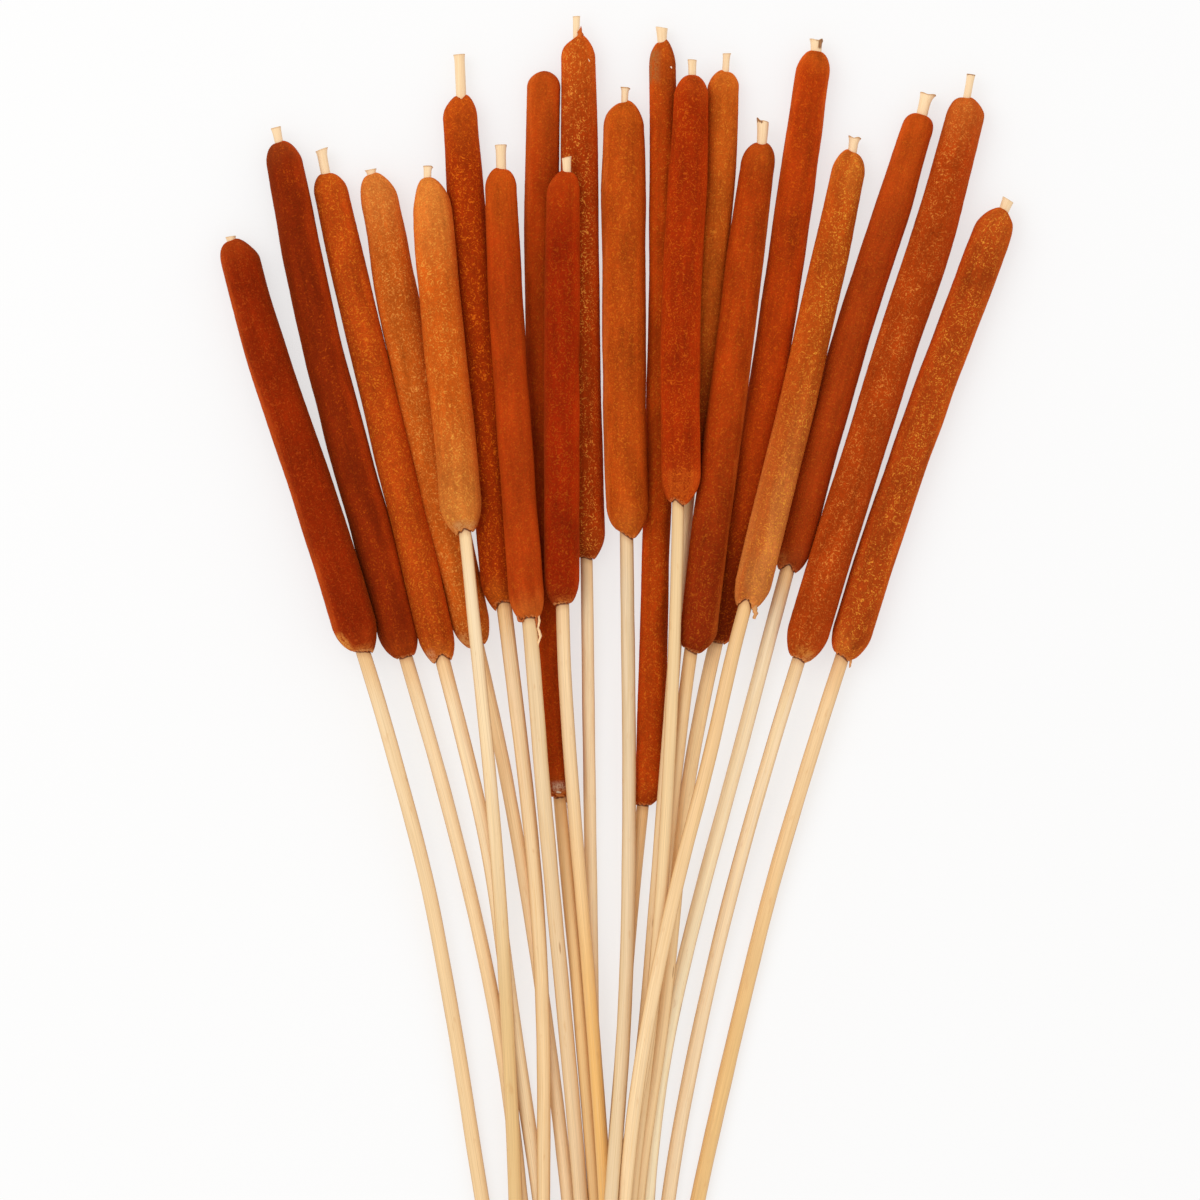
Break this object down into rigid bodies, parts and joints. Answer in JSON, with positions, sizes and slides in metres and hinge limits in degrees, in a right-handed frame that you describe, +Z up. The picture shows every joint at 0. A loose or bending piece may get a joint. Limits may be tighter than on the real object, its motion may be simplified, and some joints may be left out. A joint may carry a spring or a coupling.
{
  "type": "cattail stems",
  "caption": "Loose fan of dried cattails lying flat, velvety brown seed heads on slender straw-coloured stalks that draw together at their feet.",
  "frame": {"origin": "centre of the bounding box on the surface that the stems lie on", "axes": "+Y from the stalks' feet towards the seed heads, +X to the right of the fan seen from above, +Z up from the surface"},
  "size_m": [0.3172, 0.5154, 0.0312],
  "materials": {
    "velvet": "matte velvety seed head",
    "straw": "smooth dried stalk"
  },
  "bodies": {
    "root": {"head_01": "velvet", "head_02": "velvet", "head_03": "velvet", "head_04": "velvet", "head_05": "velvet", "head_06": "velvet", "head_07": "velvet", "head_08": "velvet", "head_09": "velvet", "head_10": "velvet", "head_11": "velvet", "head_12": "velvet", "head_13": "velvet", "head_14": "velvet", "head_15": "velvet", "head_16": "velvet", "head_17": "velvet", "head_18": "velvet", "head_19": "velvet", "head_20": "velvet", "stalk_01": "straw", "stalk_02": "straw", "stalk_03": "straw", "stalk_04": "straw", "stalk_05": "straw", "stalk_06": "straw", "stalk_07": "straw", "stalk_08": "straw", "stalk_09": "straw", "stalk_10": "straw", "stalk_11": "straw", "stalk_12": "straw", "stalk_13": "straw", "stalk_14": "straw", "stalk_15": "straw", "stalk_16": "straw", "stalk_17": "straw", "stalk_18": "straw", "stalk_19": "straw", "stalk_20": "straw"}
  },
  "joints": []
}
